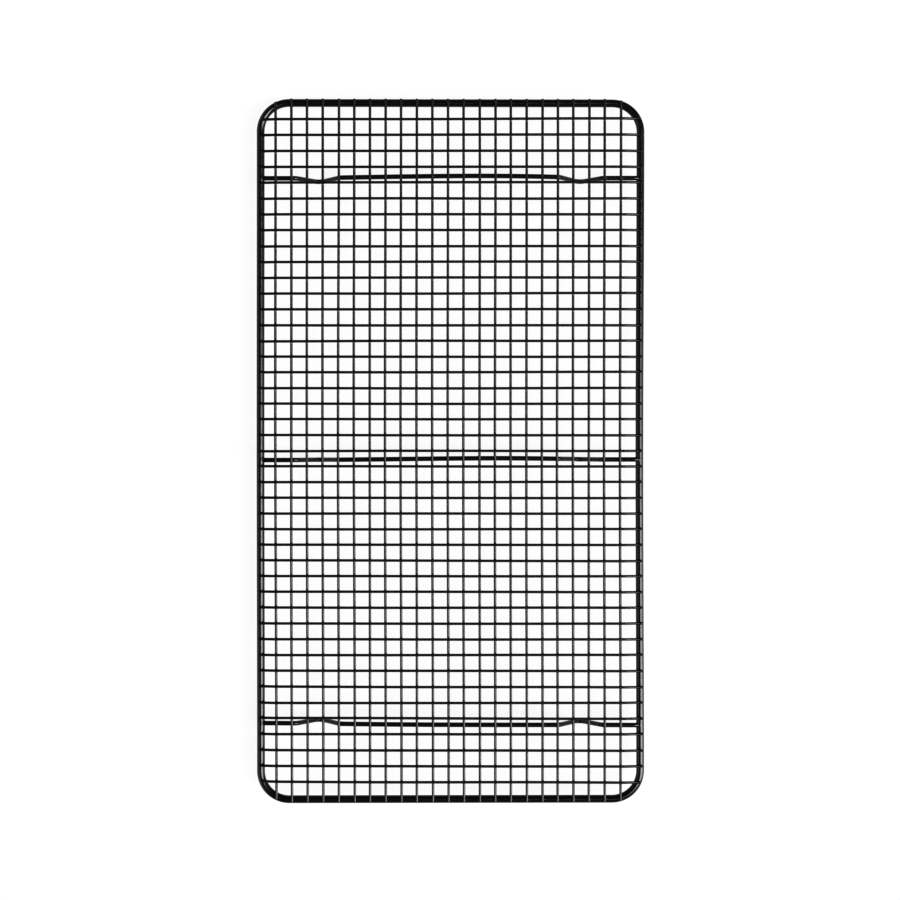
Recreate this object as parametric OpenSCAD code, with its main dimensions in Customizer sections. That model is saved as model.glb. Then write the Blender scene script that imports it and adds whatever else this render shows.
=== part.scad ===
// Cooling rack of coated steel wire, in millimetres, standing on its feet at z = 0.
// X runs across the rack, Y along it and Z up. The origin is under the middle of the rack.
// A closed rim carries long wires. Cross wires lie over them and dip at both ends to reach the
// side rails. Three leg bars span the rim from side to side, and each is bent into two V-shaped feet.

/* [Rim] */
// Overall width of the rack, along X
rack_w = 251.5; // [245:0.5:300]
// Overall length of the rack, along Y
rack_l = 457; // [430:1:520]
// Diameter of the rim wire
rim_d = 5; // [4.5:0.5:5.5]
// Outer radius of the rim's corners
corner_r = 21; // [19:0.5:23]

/* [Grid] */
// Diameter of the grid wires
wire_d = 1.6; // [1.4:0.1:1.8]
// Number of long wires, which lie along Y
long_n = 23; // [15:2:23]
// Distance from the side of the rack to the outermost long wire, before the shift
long_margin = 14.2; // [13.5:0.05:15]
// Sideways shift of all the long wires together
long_shift = -1.5; // [-1.5:0.05:0]
// Number of cross wires, which lie along X
cross_n = 43; // [31:1:43]
// Distance from the end of the rack to the outermost cross wire, before the shift
cross_margin = 13.7; // [13:0.1:15]
// Shift of all the cross wires together, toward the rear
cross_shift = 0.45; // [-0.5:0.05:0.5]
// Radius of the bends in a cross wire's dips, to the middle of the wire
dip_r = 8; // [6:0.5:9]
// Distance from a wire's trimmed end to the outside of the rim
end_trim = 0.35; // [0.2:0.05:0.6]

/* [Legs] */
// Diameter of the leg bars
leg_d = 3; // [2.5:0.5:3.5]
// Radius of the bends in a leg bar, to the middle of the bar
foot_r = 4; // [3.5:0.5:6]
// Length of the straight sides of a foot
foot_side = 16; // [12:0.5:20]
// Distance from the middle of the rack to the left feet
left_foot = 86; // [75:0.5:90]
// Distance from the middle of the rack to the right feet
right_foot = 84.5; // [75:0.5:90]
// Place of the rear leg bar along Y
rear_leg = 177.2; // [150:0.1:185]
// Place of the middle leg bar along Y
middle_leg = -5.4; // [-60:0.1:60]
// Place of the front leg bar along Y
front_leg = -177.1; // [-185:0.1:-150]
// How far a leg bar reaches over the side rail, from the rail's inner face
leg_reach = 1; // [0.5:0.1:1.5]

/* [Welds] */
// How deep a grid wire sinks into what it is welded to
weld_set = 0.2; // [0.1:0.05:0.3]

/* [Hidden] */
$fn = 48;
coating = "#1b1b1d";

// Both slopes are sides of whole-number triangles, 3-4-5 for a foot and 7-24-25 for a dip, so
// that each bend ends on short decimals and the parts of a bent wire meet exactly.
foot_angle = asin(4 / 5);
dip_angle = asin(7 / 25);

// A foot's depth, and half its width where it leaves the bar.
foot_h = 2 * foot_r * (1 - cos(foot_angle)) + foot_side * sin(foot_angle);
foot_half = 2 * foot_r * sin(foot_angle) + foot_side * cos(foot_angle);

// Heights of the middle lines, from the floor up. The rim and the leg bars share one top plane.
leg_z = leg_d / 2 + foot_h;
top_z = leg_z + leg_d / 2;
rim_z = top_z - rim_d / 2;
long_z = top_z + wire_d / 2 - weld_set;
cross_z = long_z + wire_d - weld_set;

// Two wires meet on a flat half-way through their set. A flat is this long on either of them.
flat_z = (long_z + cross_z) / 2;
flat_len = 2 * sqrt(wire_d * weld_set - pow(weld_set, 2));

// Plan: the middle lines of the rails, and where the corners start.
rail_x = (rack_w - rim_d) / 2;
rail_y = (rack_l - rim_d) / 2;
bend_x = rack_w / 2 - corner_r;
bend_y = rack_l / 2 - corner_r;

// Places of the wires. Long wires are counted from the left, and cross wires from the rear.
long_pitch = (rack_w - 2 * long_margin) / (long_n - 1);
cross_pitch = (rack_l - 2 * cross_margin) / (cross_n - 1);
pair_n = (long_n - 1) / 2;
long_x = [for (i = [0 : long_n - 1]) long_shift + (i - pair_n) * long_pitch];
cross_y = [for (i = [0 : cross_n - 1]) cross_shift + rack_l / 2 - cross_margin - i * cross_pitch];
leg_y = [rear_leg, middle_leg, front_leg];

// A dip is a bend down, a slope and a bend back to level.
dip_slope = (cross_z - long_z - 2 * dip_r * (1 - cos(dip_angle))) / sin(dip_angle);
dip_run = 2 * dip_r * sin(dip_angle) + dip_slope * cos(dip_angle);
// Half the width of a wire's seat on a rail.
seat_half = 0.8;
// A tool that cuts a seat reaches this far across the wire.
tool_len = 2 * wire_d;

function two_digits(n) = str(n < 10 ? "0" : "", n);
cross_names = [for (i = [1 : cross_n]) str("cross_wire_", two_digits(i))];
pair_names = [for (k = [1 : pair_n]) str("long_wire_pair_", two_digits(k))];
leg_names = ["leg_bar_rear", "leg_bar_middle", "leg_bar_front"];

// How far a corner of radius r still reaches, at a distance past its start.
function corner_reach(past, r) = sqrt(pow(r, 2) - pow(max(past, 0), 2));
// Half the length of a long wire at x, and of a cross wire at y.
function long_half(x) = bend_y + corner_reach(abs(x) + wire_d / 2 - bend_x, corner_r) - end_trim;
function cross_half(y) = bend_x + corner_reach(abs(y) + wire_d / 2 - bend_y, corner_r) - end_trim;
// Where the rim's middle line lies under a cross wire at y.
function rim_line(y) = bend_x + corner_reach(abs(y) - bend_y, corner_r - rim_d / 2);

module bar_x(length, d) rotate([0, 90, 0]) cylinder(h = length, d = d, center = true);

module bar_y(length, d) rotate([90, 0, 0]) cylinder(h = length, d = d, center = true);

// A bend that starts at the origin heading along X and turns up. It is half a ring, cut off
// square where the turn ends.
module bend(r, angle, d) {
    block = 3 * (r + d);
    translate([0, 0, r])
        rotate([90, 0, 0])
            rotate(-90)
                difference() {
                    rotate_extrude(angle = 180) translate([r, 0]) circle(d = d);
                    rotate(angle) translate([-block / 2, 0, -block / 2]) cube(block);
                }
}

// A round wire laid step by step from the origin in the XZ plane. A step [0, length] is
// straight. A step [radius, angle] is a bend, upwards for a positive angle.
module wire_path(steps, d, i = 0)
    if (i < len(steps)) {
        r = steps[i][0];
        amount = steps[i][1];
        if (r == 0) {
            rotate([0, 90, 0]) cylinder(h = amount, d = d);
            translate([amount, 0, 0]) wire_path(steps, d, i + 1);
        } else {
            mirror([0, 0, amount < 0 ? 1 : 0]) bend(r, abs(amount), d);
            translate([r * sin(abs(amount)), 0, sign(amount) * r * (1 - cos(amount))])
                rotate([0, -amount, 0]) wire_path(steps, d, i + 1);
        }
    }

module rim_shape()
    translate([0, 0, rim_z]) {
        for (side = [-1, 1]) {
            translate([side * rail_x, 0, 0]) bar_y(2 * bend_y, rim_d);
            translate([0, side * rail_y, 0]) bar_x(2 * bend_x, rim_d);
        }
        for (turn = [0 : 3])
            translate([(turn % 3 == 0 ? 1 : -1) * bend_x, (turn < 2 ? 1 : -1) * bend_y, 0])
                rotate(90 * turn)
                    rotate_extrude(angle = 90) translate([corner_r - rim_d / 2, 0]) circle(d = rim_d);
    }

module rim() color(coating) rim_shape();

// A leg bar: three level runs joined by two feet. Its ends are coped round the side rails.
module leg_bar(y) {
    end_x = rail_x - rim_d / 2 + leg_reach;
    foot = [[foot_r, -foot_angle], [0, foot_side], [foot_r, 2 * foot_angle],
            [0, foot_side], [foot_r, -foot_angle]];
    steps = concat([[0, end_x - left_foot - foot_half]], foot,
                   [[0, left_foot + right_foot - 2 * foot_half]], foot,
                   [[0, end_x - right_foot - foot_half]]);
    color(coating)
        difference() {
            translate([-end_x, y, leg_z]) wire_path(steps, leg_d);
            for (side = [-1, 1])
                translate([side * rail_x, y, rim_z]) bar_y(2 * leg_d, rim_d);
        }
}

// True where a long wire at x rests on the level part of the leg bars, and not over a foot.
function on_leg(x) = abs(x + left_foot) > foot_half - wire_d && abs(x - right_foot) > foot_half - wire_d;

// A long wire, flattened on top under each cross wire, and seated on the leg bars and the rim.
module long_wire(x)
    color(coating)
        difference() {
            translate([x, 0, long_z]) bar_y(2 * long_half(x), wire_d);
            for (y = cross_y)
                translate([x - wire_d / 2, y - flat_len / 2, flat_z]) cube([wire_d, flat_len, wire_d]);
            if (on_leg(x))
                for (y = leg_y)
                    translate([x, y, leg_z]) bar_x(tool_len, leg_d);
            if (abs(x) > bend_x)
                rim_shape();
            else
                for (side = [-1, 1])
                    translate([x, side * rail_y, rim_z]) bar_x(tool_len, rim_d);
        }

module long_wire_pair(k)
    for (side = [-1, 1])
        long_wire(long_x[pair_n + side * k]);

// A cross wire, flattened underneath over each long wire. At each end it dips to its seat on
// the rim.
module cross_wire(y) {
    end_x = cross_half(y);
    dip_x = rim_line(y) - seat_half;
    down = [[dip_r, -dip_angle], [0, dip_slope], [dip_r, dip_angle]];
    up = [[dip_r, dip_angle], [0, dip_slope], [dip_r, -dip_angle]];
    steps = concat([[0, end_x - dip_x]], up, [[0, 2 * (dip_x - dip_run)]], down, [[0, end_x - dip_x]]);
    color(coating)
        difference() {
            translate([-end_x, y, long_z]) wire_path(steps, wire_d);
            for (x = long_x)
                translate([x - flat_len / 2, y - wire_d / 2, flat_z - wire_d])
                    cube([flat_len, wire_d, wire_d]);
            if (abs(y) > bend_y)
                rim_shape();
            else
                for (side = [-1, 1])
                    translate([side * rail_x, y, rim_z]) bar_y(tool_len, rim_d);
        }
}

rim();
for (i = [0 : len(leg_y) - 1])
    leg_bar(leg_y[i]);
long_wire(long_x[pair_n]);  // long_wire_centre
for (k = [1 : pair_n])
    long_wire_pair(k);
for (i = [0 : cross_n - 1])
    cross_wire(cross_y[i]);
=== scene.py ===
import math
import random

import bpy
import numpy as np
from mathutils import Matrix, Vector


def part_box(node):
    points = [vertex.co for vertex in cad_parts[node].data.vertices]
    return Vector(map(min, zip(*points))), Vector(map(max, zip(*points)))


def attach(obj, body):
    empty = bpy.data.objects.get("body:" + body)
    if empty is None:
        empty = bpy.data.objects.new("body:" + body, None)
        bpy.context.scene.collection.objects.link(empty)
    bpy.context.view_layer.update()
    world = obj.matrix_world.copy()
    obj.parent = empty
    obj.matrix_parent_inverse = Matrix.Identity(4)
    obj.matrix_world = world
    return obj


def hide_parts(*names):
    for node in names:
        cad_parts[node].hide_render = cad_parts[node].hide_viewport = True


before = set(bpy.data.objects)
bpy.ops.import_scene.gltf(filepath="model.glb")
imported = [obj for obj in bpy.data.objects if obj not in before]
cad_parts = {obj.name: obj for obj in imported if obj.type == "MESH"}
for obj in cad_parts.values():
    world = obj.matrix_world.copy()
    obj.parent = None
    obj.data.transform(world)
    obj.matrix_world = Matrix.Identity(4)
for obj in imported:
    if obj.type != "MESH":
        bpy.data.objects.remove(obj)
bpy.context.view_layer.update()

# A black coated wire rack, standing on a white sheet and seen from straight above. Every wire is
# swept along its own middle line, and its coating swells where it is welded to another wire.

MM = 0.001

# ---------------------------------------------------------------- sizes, from the frame

RIM_LOW, RIM_HIGH = (np.array(v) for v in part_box("rim"))
RIM_R = (RIM_HIGH[2] - RIM_LOW[2]) / 2
RIM_Z = (RIM_HIGH[2] + RIM_LOW[2]) / 2
RIM_X, RIM_Y = RIM_HIGH[0] - RIM_R, RIM_HIGH[1] - RIM_R
CORNER_R = 21 * MM - RIM_R                      # to the middle of the rim's wire
BEND_X, BEND_Y = RIM_X - CORNER_R, RIM_Y - CORNER_R

CROSS_NODES = sorted(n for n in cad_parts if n.startswith("cross_wire_"))
PAIR_NODES = sorted(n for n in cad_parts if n.startswith("long_wire_pair_"))
LEG_NODES = ["leg_bar_rear", "leg_bar_middle", "leg_bar_front"]

LONG_LOW, LONG_HIGH = (np.array(v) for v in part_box("long_wire_centre"))
STEEL_R = (LONG_HIGH[0] - LONG_LOW[0]) / 2
COAT = 0.03 * MM
WIRE_R = STEEL_R + COAT
LONG_Z = LONG_LOW[2] + STEEL_R
CROSS_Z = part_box(CROSS_NODES[0])[1][2] - STEEL_R
LEG_LOW, LEG_HIGH = (np.array(v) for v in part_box(LEG_NODES[0]))
LEG_R = (LEG_HIGH[1] - LEG_LOW[1]) / 2
LEG_Z = LEG_HIGH[2] - LEG_R
LEG_X = LEG_HIGH[0]

# ---------------------------------------------------------------- shape of the rack

LEFT_FOOT, RIGHT_FOOT = -86 * MM, 84.5 * MM     # middles of the feet along X
FOOT_R = 4 * MM                                 # radius of a foot's bends, to the middle of the bar
FOOT_ANGLE = math.asin(4 / 5)                   # slope of a foot's sides
DIP_RUN = 10 * MM                               # length of a cross wire's dip to the rim
DIP_BEND = 0.22                                 # share of the dip in each of its two bends
DIP_STAND = 0.3 * MM                            # how far the dip stops above a long wire's height
SEAT = 0.8 * MM                                 # half of a wire's level seat on the rim
REAR_TRIM, FRONT_TRIM = 0.2 * MM, 1.0 * MM      # from a long wire's end to the outside of the rim
CROSS_TRIM = 1.0 * MM                           # and from a cross wire's
END_DOME = 0.35 * MM                            # depth of the rounded coating on a cut end

# A real rack isn't quite true: it bends sideways along its length, its side rails bow in, its leg
# bars bow between their feet, its cross wires crowd and fan out, and all its wires wander a little.
BEND = 0.4 * MM
RIM_PINCH = 0.2 * MM
CROWD = 0.6 * MM
FAN = 0.35 * MM
LEG_BOW = {"leg_bar_rear": 1.4 * MM, "leg_bar_middle": 0.8 * MM, "leg_bar_front": -0.45 * MM}
LEG_SKEW = {"leg_bar_rear": 0.4 * MM, "leg_bar_middle": 0.45 * MM, "leg_bar_front": 0.1 * MM}
LEG_SLANT = {"leg_bar_rear": 0.2 * MM, "leg_bar_middle": 0.2 * MM, "leg_bar_front": -0.8 * MM}
BOW_POWER = 0.7                                 # below 1, a bow is flatter in its middle
WIRE_OFFSET, WIRE_SLANT, WIRE_WAVE = 0.16 * MM, 0.16 * MM, 0.13 * MM

# How far the coating reaches across a weld from one surface to the other.
WIRE_POOL, RIM_POOL, BUTT_POOL = 0.75 * MM, 0.4 * MM, 0.7 * MM

# The rings of a sweep: points in each, their places on both sides of a weld, and their widest and
# closest spacing elsewhere.
WIRE_SIDES, LEG_SIDES, RIM_SIDES = 16, 24, 32
WIRE_STEPS = [s * MM for s in (0.0, 0.35, 0.7, 1.1, 1.6, 2.3)]
RIM_STEPS = [s * MM for s in (0.0, 0.45, 0.95, 1.6, 2.5)]
WIRE_GAP, BAR_GAP = 4.2 * MM, 4 * MM
CLOSEST = 0.08 * MM
DIP_RINGS, TURN_RINGS, SIDE_RINGS, CORNER_RINGS, DOME_RINGS = 12, 10, 9, 28, 5


class Wander:
    """A wire's sideways drift from its true line, in metres, as a smooth curve along the wire."""

    def __init__(self, rng, half):
        self.half = half
        self.offset = rng.uniform(-WIRE_OFFSET, WIRE_OFFSET)
        self.slant = rng.uniform(-WIRE_SLANT, WIRE_SLANT)
        self.wave = rng.uniform(0.3, 1.0) * WIRE_WAVE
        self.turns = rng.uniform(0.5, 1.4)      # half waves from the wire's middle to its end
        self.phase = rng.uniform(0, 2 * math.pi)

    def __call__(self, s):
        along = np.asarray(s) / self.half
        wave = self.wave * np.sin(math.pi * self.turns * along + self.phase)
        return self.offset + self.slant * along + wave


def belly(y):
    """From 0 at the ends of the side rails to 1 at their middle."""
    return np.cos(math.pi / 2 * np.clip(np.asarray(y) / BEND_Y, -1, 1)) ** 2


def pinch(y):
    """How far the side rails bow in at y."""
    return RIM_PINCH * belly(y)


def bend(y):
    """How far the whole rack bends toward -X at y."""
    return BEND * belly(y)


def corner_reach(past, radius):
    """How far a corner's arc reaches, at a place that lies past the start of its bend."""
    return np.sqrt(np.maximum(radius ** 2 - np.maximum(past, 0) ** 2, 0))


def dip_share(t):
    """From 0 to 1 along a dip: a straight slope between two soft bends."""
    t = np.clip(t, 0, 1)
    near = np.minimum(t, 1 - t)
    rise = np.where(near < DIP_BEND, near ** 2 / (2 * DIP_BEND), near - DIP_BEND / 2)
    rise /= 1 - DIP_BEND
    return np.where(t < 0.5, rise, 1 - rise)


rng = random.Random(7)


class LongWire:
    """A long wire: x(y) and its height, and where it ends."""

    def __init__(self, node, x):
        self.node, self.x0 = node, x
        self.wander = Wander(rng, RIM_Y)
        reach = corner_reach(abs(x) + WIRE_R - BEND_X, CORNER_R + RIM_R)
        half = BEND_Y + float(reach) - END_DOME
        self.ends = FRONT_TRIM - half, half - REAR_TRIM

    def x(self, y):
        return self.x0 + self.wander(y) - bend(y)


class CrossWire:
    """A cross wire: y(x) and z(x), and where it ends."""

    def __init__(self, node, y):
        self.node, self.y0 = node, y - CROWD * math.sin(2 * math.pi * y / (2 * RIM_Y))
        self.wander = Wander(rng, RIM_X)
        bow = float(pinch(y))
        reach = corner_reach(abs(y) + WIRE_R - BEND_Y, CORNER_R + RIM_R)
        self.half = BEND_X + float(reach) - bow - CROSS_TRIM - END_DOME
        line = BEND_X + float(corner_reach(abs(y) - BEND_Y, CORNER_R)) - bow
        self.dip_end = line - SEAT

    def y(self, x):
        return self.y0 + self.wander(x) + FAN * (x / RIM_X) * (self.y0 / RIM_Y)

    def z(self, x):
        down = dip_share((np.abs(x + bend(self.y0)) - self.dip_end + DIP_RUN) / DIP_RUN)
        return CROSS_Z - (CROSS_Z - LONG_Z - DIP_STAND) * down


class LegBar:
    """A leg bar: three level runs and two V-shaped feet, as points along X with their heights."""

    def __init__(self, node):
        low, high = (np.array(v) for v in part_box(node))
        self.node, self.y0 = node, (low[1] + high[1]) / 2
        self.bow, self.skew, self.slant = LEG_BOW[node], LEG_SKEW[node], LEG_SLANT[node]
        depth = LEG_Z - (low[2] + LEG_R)
        side = (depth - 2 * FOOT_R * (1 - math.cos(FOOT_ANGLE))) / math.sin(FOOT_ANGLE)
        half = 2 * FOOT_R * math.sin(FOOT_ANGLE) + side * math.cos(FOOT_ANGLE)
        foot = self.foot_outline(half, side)
        spans = [(-LEG_X, LEFT_FOOT - half), (LEFT_FOOT + half, RIGHT_FOOT - half),
                 (RIGHT_FOOT + half, LEG_X)]
        level = [[(x, 0.0) for x in self.level_stations(a, b)] for a, b in spans]
        left = [(x + LEFT_FOOT, z) for x, z in foot]
        right = [(x + RIGHT_FOOT, z) for x, z in foot]
        outline = level[0] + left + level[1] + right + level[2]
        self.xs = np.array([p[0] for p in outline])
        self.zs = np.array([p[1] for p in outline]) + LEG_Z

    @staticmethod
    def level_stations(a, b):
        near = [x.x0 + side * s for x in long_wires for s in RIM_STEPS for side in (-1, 1)]
        return stations(a, b, near, BAR_GAP)

    @staticmethod
    def foot_outline(half, side):
        """The V from one level run to the next, without its two end points."""
        turn = np.linspace(0, FOOT_ANGLE, TURN_RINGS)
        down = [(-half + FOOT_R * math.sin(t), -FOOT_R * (1 - math.cos(t))) for t in turn[1:]]
        run = np.linspace(0, side, SIDE_RINGS)[1:]
        x, z = down[-1]
        down += [(x + s * math.cos(FOOT_ANGLE), z - s * math.sin(FOOT_ANGLE)) for s in run]
        x, z = down[-1]
        low = z - FOOT_R * (1 - math.cos(FOOT_ANGLE))
        down += [(-FOOT_R * math.sin(t), low + FOOT_R * (1 - math.cos(t))) for t in turn[-2::-1]]
        return down + [(-x, z) for x, z in down[-2::-1]]

    def y(self, x):
        """The bar lies a little askew, and bows sideways between its feet."""
        x = np.asarray(x)
        turn = math.pi * np.clip((x - LEFT_FOOT) / (RIGHT_FOOT - LEFT_FOOT), 0, 1)
        bow = np.maximum(np.sin(turn), 0) ** BOW_POWER * (self.bow - self.skew * np.cos(turn))
        return self.y0 + self.slant * x / LEG_X + bow

    def z(self, x):
        return np.interp(x, self.xs, self.zs)

    def slope(self, x):
        step = 0.2 * MM
        return (self.z(np.asarray(x) + step) - self.z(np.asarray(x) - step)) / (2 * step)


def stations(a, b, near, widest):
    """Places from a to b that take in those of near that lie between, with no gap over widest."""
    keep = sorted({a, b, *(s for s in near if a < s < b)})
    places = [keep[0]]
    for s in keep[1:]:
        gap = s - places[-1]
        if gap < CLOSEST and s != b:
            continue
        extra = math.ceil(gap / widest)
        start = places[-1]
        places += [start + gap * (i + 1) / extra for i in range(extra)]
    return places


def make_long_wires():
    centre = (LONG_LOW[0] + LONG_HIGH[0]) / 2
    wires = [LongWire("long_wire_centre", centre)]
    for node in PAIR_NODES:
        low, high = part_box(node)
        wires += [LongWire(node, low[0] + STEEL_R), LongWire(node, high[0] - STEEL_R)]
    return sorted(wires, key=lambda w: w.x0)


def make_cross_wires():
    wires = []
    for node in CROSS_NODES:
        low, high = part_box(node)
        wires.append(CrossWire(node, (low[1] + high[1]) / 2))
    return wires


long_wires = make_long_wires()
cross_wires = make_cross_wires()
leg_bars = [LegBar(node) for node in LEG_NODES]

# ---------------------------------------------------------------- distance to each kind of piece


def gap_to_long(p):
    gaps = [np.hypot(p[:, 0] - w.x(p[:, 1]), p[:, 2] - LONG_Z) for w in long_wires]
    return np.min(gaps, axis=0) - WIRE_R


def gap_to_cross(p):
    gaps = [np.hypot(p[:, 1] - w.y(p[:, 0]), p[:, 2] - w.z(p[:, 0])) for w in cross_wires]
    return np.min(gaps, axis=0) - WIRE_R


def gap_to_rim(p):
    qx = np.abs(p[:, 0] + bend(p[:, 1])) + pinch(p[:, 1]) - BEND_X
    qy = np.abs(p[:, 1]) - BEND_Y
    outside = np.hypot(np.maximum(qx, 0), np.maximum(qy, 0))
    inside = np.minimum(np.maximum(qx, qy), 0)
    return np.hypot(outside + inside - CORNER_R, p[:, 2] - RIM_Z) - RIM_R


def gap_to_legs(p):
    gaps = []
    for bar in leg_bars:
        level = np.cos(np.arctan(bar.slope(p[:, 0])))
        past = np.maximum(np.abs(p[:, 0]) - LEG_X, 0)
        across = np.hypot(p[:, 1] - bar.y(p[:, 0]), (p[:, 2] - bar.z(p[:, 0])) * level)
        gaps.append(np.hypot(across, past))
    return np.min(gaps, axis=0) - LEG_R


def pool(points, outward, meets):
    """Moves points outward to where the coating has run together with the pieces they meet."""
    rounds = 10
    rise = np.zeros(len(points))
    for gap_to, reach in meets:
        own = np.zeros(len(points))
        for _ in range(rounds):
            gap = gap_to(points + own[:, None] * outward)
            shared = np.maximum(reach - np.abs(own - gap), 0) ** 2 / (4 * reach)
            own = (own + shared) / 2
        rise = np.maximum(rise, own)
    return points + rise[:, None] * outward


# ---------------------------------------------------------------- sweeping a wire


def add_domes(path, radii, heading, dome):
    """Adds the rings of a dome past both ends of a path, and says how far the last ones reach."""
    turns = np.linspace(0, math.pi / 2, DOME_RINGS)[1:-1]
    ahead, shrink = dome * np.sin(turns), radii[0] * np.cos(turns)
    first = path[0] - ahead[::-1, None] * heading[0]
    last = path[-1] + ahead[:, None] * heading[-1]
    path = np.vstack([first, path, last])
    radii = np.concatenate([shrink[::-1], radii, shrink])
    starts, ends = [heading[0]] * len(turns), [heading[-1]] * len(turns)
    return path, radii, np.vstack([starts, heading, ends]), ahead[-1]


def ring_faces(count, sides, closed):
    index = np.arange(count * sides).reshape(count, sides)
    along = index if not closed else np.vstack([index, index[:1]])
    beside = np.roll(along, -1, axis=1)
    quads = np.stack([along[:-1], along[1:], beside[1:], beside[:-1]], axis=-1)
    return quads.reshape(-1, 4).tolist()


def tip_faces(count, sides):
    """Closes both ends of a sweep onto two tips, which come after all its rings."""
    tip, last = count * sides, (count - 1) * sides
    pairs = [(i, (i + 1) % sides) for i in range(sides)]
    return [(tip, a, b) for a, b in pairs] + [(tip + 1, last + b, last + a) for a, b in pairs]


def sweep(name, path, radius, sides, meets, closed=False, dome=0.0):
    """A closed mesh of a round wire along a path of points.

    The path is a closed loop, or has two ends with domes that reach past it. The wire swells where
    it meets other pieces.
    """
    path = np.asarray(path, dtype=float)
    if closed:
        heading = np.roll(path, -1, axis=0) - np.roll(path, 1, axis=0)
    else:
        heading = np.gradient(path, axis=0)
    heading /= np.linalg.norm(heading, axis=1)[:, None]
    radii = np.full(len(path), radius)
    if dome:
        path, radii, heading, reach = add_domes(path, radii, heading, dome)
    side = np.cross([0, 0, 1], heading)
    side /= np.linalg.norm(side, axis=1)[:, None]
    up = np.cross(heading, side)
    angles = np.linspace(0, 2 * math.pi, sides, endpoint=False) + math.pi / sides
    outward = (np.cos(angles)[None, :, None] * side[:, None, :]
               + np.sin(angles)[None, :, None] * up[:, None, :])
    rings = path[:, None, :] + radii[:, None, None] * outward
    points = pool(rings.reshape(-1, 3), outward.reshape(-1, 3), meets)
    faces = ring_faces(len(path), sides, closed)
    if dome:
        on = dome - reach
        points = np.vstack([points, path[0] - on * heading[0], path[-1] + on * heading[-1]])
        faces += tip_faces(len(path), sides)
    mesh = bpy.data.meshes.new(name)
    mesh.from_pydata(points.tolist(), [], faces)
    mesh.validate()
    mesh.shade_smooth()
    piece = bpy.data.objects.new(name, mesh)
    bpy.context.scene.collection.objects.link(piece)
    return piece


# ---------------------------------------------------------------- pieces


def around(centres, steps):
    """The places at each step to both sides of each centre."""
    return [c + side * s for c in centres for s in steps for side in (-1, 1)]


def long_wire(wire, name):
    crossings = [float(c.y(wire.x0)) for c in cross_wires]
    crossings += [float(b.y(wire.x0)) for b in leg_bars] + [-RIM_Y, RIM_Y]
    ys = np.array(stations(*wire.ends, around(crossings, WIRE_STEPS), WIRE_GAP))
    path = np.stack([wire.x(ys), ys, np.full(len(ys), LONG_Z)], axis=1)
    meets = [(gap_to_cross, WIRE_POOL), (gap_to_rim, RIM_POOL), (gap_to_legs, RIM_POOL)]
    return sweep(name, path, WIRE_R, WIRE_SIDES, meets, dome=END_DOME)


def cross_wire(wire, name):
    shift = float(bend(wire.y0))
    crossings = [float(w.x(wire.y0)) + shift for w in long_wires] + [-RIM_X, RIM_X]
    inner = [wire.dip_end - DIP_RUN * i / DIP_RINGS for i in range(DIP_RINGS + 1)]
    marks = around(crossings, WIRE_STEPS) + [side * x for x in inner for side in (-1, 1)]
    xs = np.array(stations(-wire.half, wire.half, marks, WIRE_GAP)) - shift
    path = np.stack([xs, wire.y(xs), wire.z(xs)], axis=1)
    meets = [(gap_to_long, WIRE_POOL), (gap_to_rim, RIM_POOL)]
    return sweep(name, path, WIRE_R, WIRE_SIDES, meets, dome=END_DOME)


def leg_bar(bar, name):
    path = np.stack([bar.xs, bar.y(bar.xs), bar.zs], axis=1)
    meets = [(gap_to_long, RIM_POOL), (gap_to_rim, BUTT_POOL)]
    return sweep(name, path, LEG_R, LEG_SIDES, meets, dome=END_DOME)


def rim(name):
    """The rim's loop, from the middle of the right rail round through the rear."""
    welds = [float(w.y(RIM_X)) for w in cross_wires] + [b.y0 for b in leg_bars]
    side_marks = around(welds, RIM_STEPS)
    end_marks = around([w.x0 for w in long_wires], RIM_STEPS)
    arc = np.linspace(0, math.pi / 2, CORNER_RINGS)[1:-1]
    quarters = [(1, 1), (-1, 1), (-1, -1), (1, -1)]
    path = []
    for turn, (sx, sy) in enumerate(quarters):
        rail = stations(-BEND_Y, BEND_Y, side_marks, BAR_GAP)
        end = stations(-BEND_X, BEND_X, end_marks, BAR_GAP)
        turn_path = [(sx * BEND_X + CORNER_R * math.cos(a + turn * math.pi / 2),
                      sy * BEND_Y + CORNER_R * math.sin(a + turn * math.pi / 2)) for a in arc]
        if turn == 0:
            path += [(RIM_X - float(pinch(y) + bend(y)), y) for y in rail] + turn_path
        elif turn == 1:
            path += [(x, RIM_Y) for x in reversed(end)] + turn_path
        elif turn == 2:
            path += [(-RIM_X + float(pinch(y) - bend(y)), y) for y in reversed(rail)] + turn_path
        else:
            path += [(x, -RIM_Y) for x in end] + turn_path
    path = [(x, y, RIM_Z) for x, y in path]
    meets = [(gap_to_long, RIM_POOL), (gap_to_cross, RIM_POOL), (gap_to_legs, BUTT_POOL)]
    return sweep(name, path, RIM_R, RIM_SIDES, meets, closed=True)


# ---------------------------------------------------------------- materials

FLOOR_GLOW, FLOOR_PALE, FLOOR_ROUGH = 0.90, 0.08, 0.9
TONE_SCALE, SHEEN_SCALE = 90, 260               # noise in the coating's colour and roughness
FINE_SCALE, BROAD_SCALE = 1600, 320             # and in its surface
FINE_DEPTH, BROAD_DEPTH = 0.05 * MM, 0.12 * MM
DARK_TONE, PALE_TONE = (0.85, 0.82, 0.85), (1.25, 1.15, 1.2)


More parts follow.
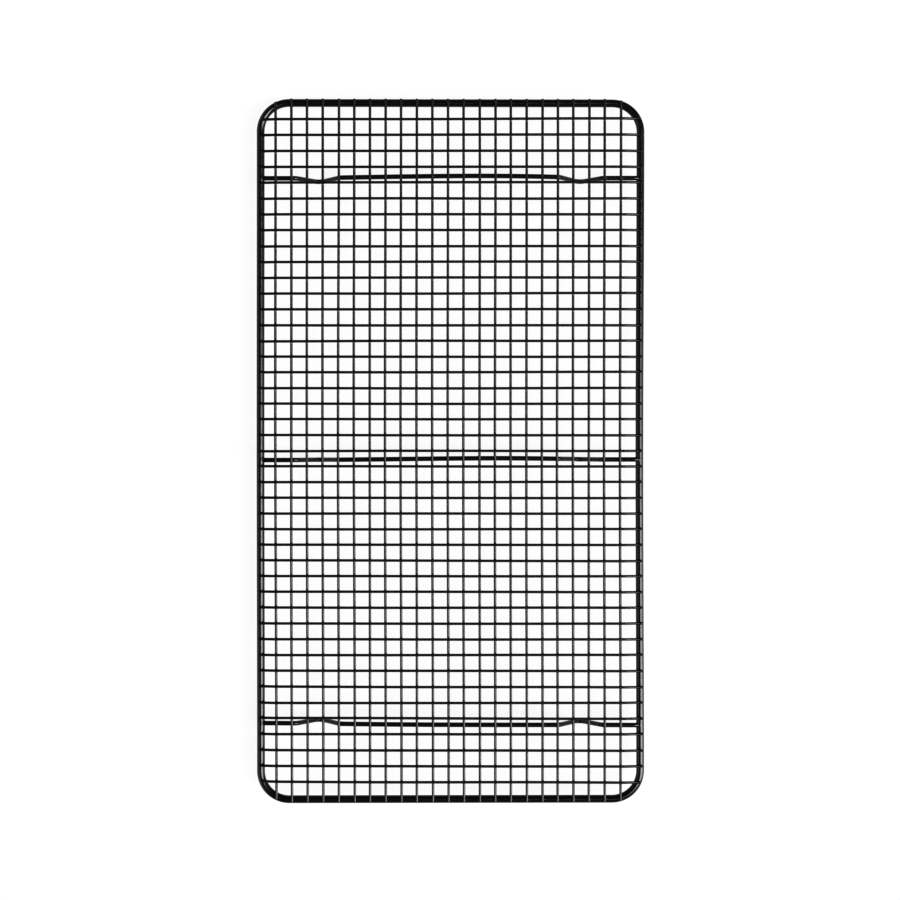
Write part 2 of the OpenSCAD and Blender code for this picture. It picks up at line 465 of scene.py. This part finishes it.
def coating(name, depth, rough, peel, ior):
    """Black coating baked on steel: near black, satin, with a faint orange-peel surface.

    depth is the coating's grey, and peel is the strength of its bumps.
    """
    material = bpy.data.materials.new(name)
    material.use_nodes = True
    nodes, links = material.node_tree.nodes, material.node_tree.links
    shader = nodes["Principled BSDF"]
    place = nodes.new("ShaderNodeTexCoord")

    def noise(scale, detail):
        node = nodes.new("ShaderNodeTexNoise")
        node.inputs["Scale"].default_value = scale
        node.inputs["Detail"].default_value = detail
        links.new(place.outputs["Object"], node.inputs["Vector"])
        return node.outputs["Fac"]

    def spread(source, low, high):
        """Takes the middle of a noise's range to low and high."""
        node = nodes.new("ShaderNodeMapRange")
        node.inputs["From Min"].default_value = 0.3
        node.inputs["From Max"].default_value = 0.7
        node.inputs["To Min"].default_value = low
        node.inputs["To Max"].default_value = high
        links.new(source, node.inputs["Value"])
        return node.outputs["Result"]

    def bump(scale, distance):
        node = nodes.new("ShaderNodeBump")
        node.inputs["Strength"].default_value = peel
        node.inputs["Distance"].default_value = distance
        links.new(noise(scale, 2), node.inputs["Height"])
        return node

    tone = nodes.new("ShaderNodeMix")
    tone.data_type = "RGBA"
    tone.inputs["A"].default_value = (*(c * depth for c in DARK_TONE), 1)
    tone.inputs["B"].default_value = (*(c * depth for c in PALE_TONE), 1)
    links.new(noise(TONE_SCALE, 3), tone.inputs["Factor"])
    links.new(tone.outputs["Result"], shader.inputs["Base Color"])
    sheen = spread(noise(SHEEN_SCALE, 4), rough - 0.04, rough + 0.05)
    links.new(sheen, shader.inputs["Roughness"])
    shader.inputs["IOR"].default_value = ior
    fine, broad = bump(FINE_SCALE, FINE_DEPTH), bump(BROAD_SCALE, BROAD_DEPTH)
    links.new(fine.outputs["Normal"], broad.inputs["Normal"])
    links.new(broad.outputs["Normal"], shader.inputs["Normal"])
    return material


def floor_material():
    """A white sheet lit from behind and above, so that the rack's shadow on it is faint."""
    material = bpy.data.materials.new("white_sheet")
    material.use_nodes = True
    shader = material.node_tree.nodes["Principled BSDF"]
    shader.inputs["Base Color"].default_value = (FLOOR_PALE, FLOOR_PALE, FLOOR_PALE, 1)
    shader.inputs["Roughness"].default_value = FLOOR_ROUGH
    shader.inputs["Specular IOR Level"].default_value = 0.0
    shader.inputs["Emission Color"].default_value = (1, 1, 1, 1)
    shader.inputs["Emission Strength"].default_value = FLOOR_GLOW
    return material


# ---------------------------------------------------------------- stage, light and camera

KEY, FILL, ROOM = 20.0, 4.0, 0.13               # strength of the right light, left light and room


def add_floor():
    half = 6.0
    mesh = bpy.data.meshes.new("floor")
    mesh.from_pydata([(-half, -half, 0), (half, -half, 0), (half, half, 0), (-half, half, 0)], [],
                     [(0, 1, 2, 3)])
    floor = bpy.data.objects.new("floor", mesh)
    floor.data.materials.append(floor_material())
    bpy.context.scene.collection.objects.link(floor)


def add_world():
    """Two large soft lights left and right of the rack, as parts of the sky, in a dim room.

    Each light's edges are smooth steps along an axis of the unit direction, in which 0 is straight
    above and 1 is the horizon. The camera itself sees a white backdrop past the floor.
    """
    world = bpy.data.worlds.new("studio")
    world.use_nodes = True
    nodes, links = world.node_tree.nodes, world.node_tree.links
    nodes.clear()
    place = nodes.new("ShaderNodeTexCoord")
    split = nodes.new("ShaderNodeSeparateXYZ")
    links.new(place.outputs["Generated"], split.inputs["Vector"])

    def ramp(axis, start, end, low=0.0, high=1.0):
        """A smooth step from low at start to high at end, along one axis of the direction."""
        node = nodes.new("ShaderNodeMapRange")
        node.interpolation_type = "SMOOTHSTEP"
        flip = start > end
        node.inputs["From Min"].default_value = end if flip else start
        node.inputs["From Max"].default_value = start if flip else end
        node.inputs["To Min"].default_value = high if flip else low
        node.inputs["To Max"].default_value = low if flip else high
        links.new(split.outputs[axis], node.inputs["Value"])
        return node.outputs["Result"]

    def combine(operation, *parts):
        total = parts[0]
        for part in parts[1:]:
            node = nodes.new("ShaderNodeMath")
            node.operation = operation
            for socket, value in zip(node.inputs, (total, part)):
                if isinstance(value, float):
                    socket.default_value = value
                else:
                    links.new(value, socket)
            total = node.outputs["Value"]
        return total

    across = combine("MULTIPLY", ramp("X", 0.12, 0.34), ramp("X", 1.0, 0.5, 0.4, 1.0))
    along = combine("MULTIPLY", ramp("Y", 0.11, -0.05), ramp("Y", -0.55, -0.30))
    right = combine("MULTIPLY", across, along, KEY)
    across = combine("MULTIPLY", ramp("X", -0.45, -1.0), ramp("X", -1.0, -0.88, 0.08, 1.0))
    left = combine("MULTIPLY", across, ramp("Y", 0.17, -0.10, 0.5, 1.0), FILL)
    sky = combine("ADD", right, left, ROOM)

    output = nodes.new("ShaderNodeOutputWorld")
    mix = nodes.new("ShaderNodeMixShader")
    path = nodes.new("ShaderNodeLightPath")
    lit = nodes.new("ShaderNodeBackground")
    links.new(sky, lit.inputs["Strength"])
    seen = nodes.new("ShaderNodeBackground")
    seen.inputs["Color"].default_value = (1, 1, 1, 1)
    links.new(path.outputs["Is Camera Ray"], mix.inputs[0])
    links.new(lit.outputs["Background"], mix.inputs[1])
    links.new(seen.outputs["Background"], mix.inputs[2])
    links.new(mix.outputs["Shader"], output.inputs["Surface"])
    bpy.context.scene.world = world


def add_camera():
    """Looks straight down at the middle of the rack, but for a fraction of a degree."""
    target = Vector((-0.46 * MM, 0.92 * MM, RIM_Z))
    data = bpy.data.cameras.new("camera")
    data.sensor_width = 36
    data.lens = 72
    data.clip_start = 0.01
    data.dof.use_dof = False
    camera = bpy.data.objects.new("camera", data)
    aside, ahead, above = -8.7 * MM, 6.0 * MM, 1.1693
    camera.location = target + Vector((aside, ahead, above))
    camera.rotation_euler = (-math.atan(ahead / above), math.atan(aside / above), 0)
    bpy.context.scene.collection.objects.link(camera)
    bpy.context.scene.camera = camera


add_camera()
add_floor()
add_world()
bpy.context.scene.view_settings.view_transform = "Standard"
bpy.context.scene.view_settings.gamma = 0.65

rim_coating = coating("rim_coating", 0.006, 0.21, 0.17, 1.5)
leg_coating = coating("leg_coating", 0.006, 0.20, 0.2, 1.5)
wire_coating = coating("wire_coating", 0.005, 0.30, 0.13, 1.56)


def place(piece, node, material, slot):
    piece.data.materials.append(material)
    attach(piece, "root")
    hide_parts(node)


place(rim("rim_wire"), "rim", rim_coating, "rim_coating")
for bar in leg_bars:
    place(leg_bar(bar, bar.node + "_rod"), bar.node, leg_coating, "leg_coating")
for number, wire in enumerate(long_wires, 1):
    place(long_wire(wire, f"long_wire_{number:02d}"), wire.node, wire_coating, "wire_coating")
for number, wire in enumerate(cross_wires, 1):
    place(cross_wire(wire, f"crossing_wire_{number:02d}"), wire.node, wire_coating, "wire_coating")
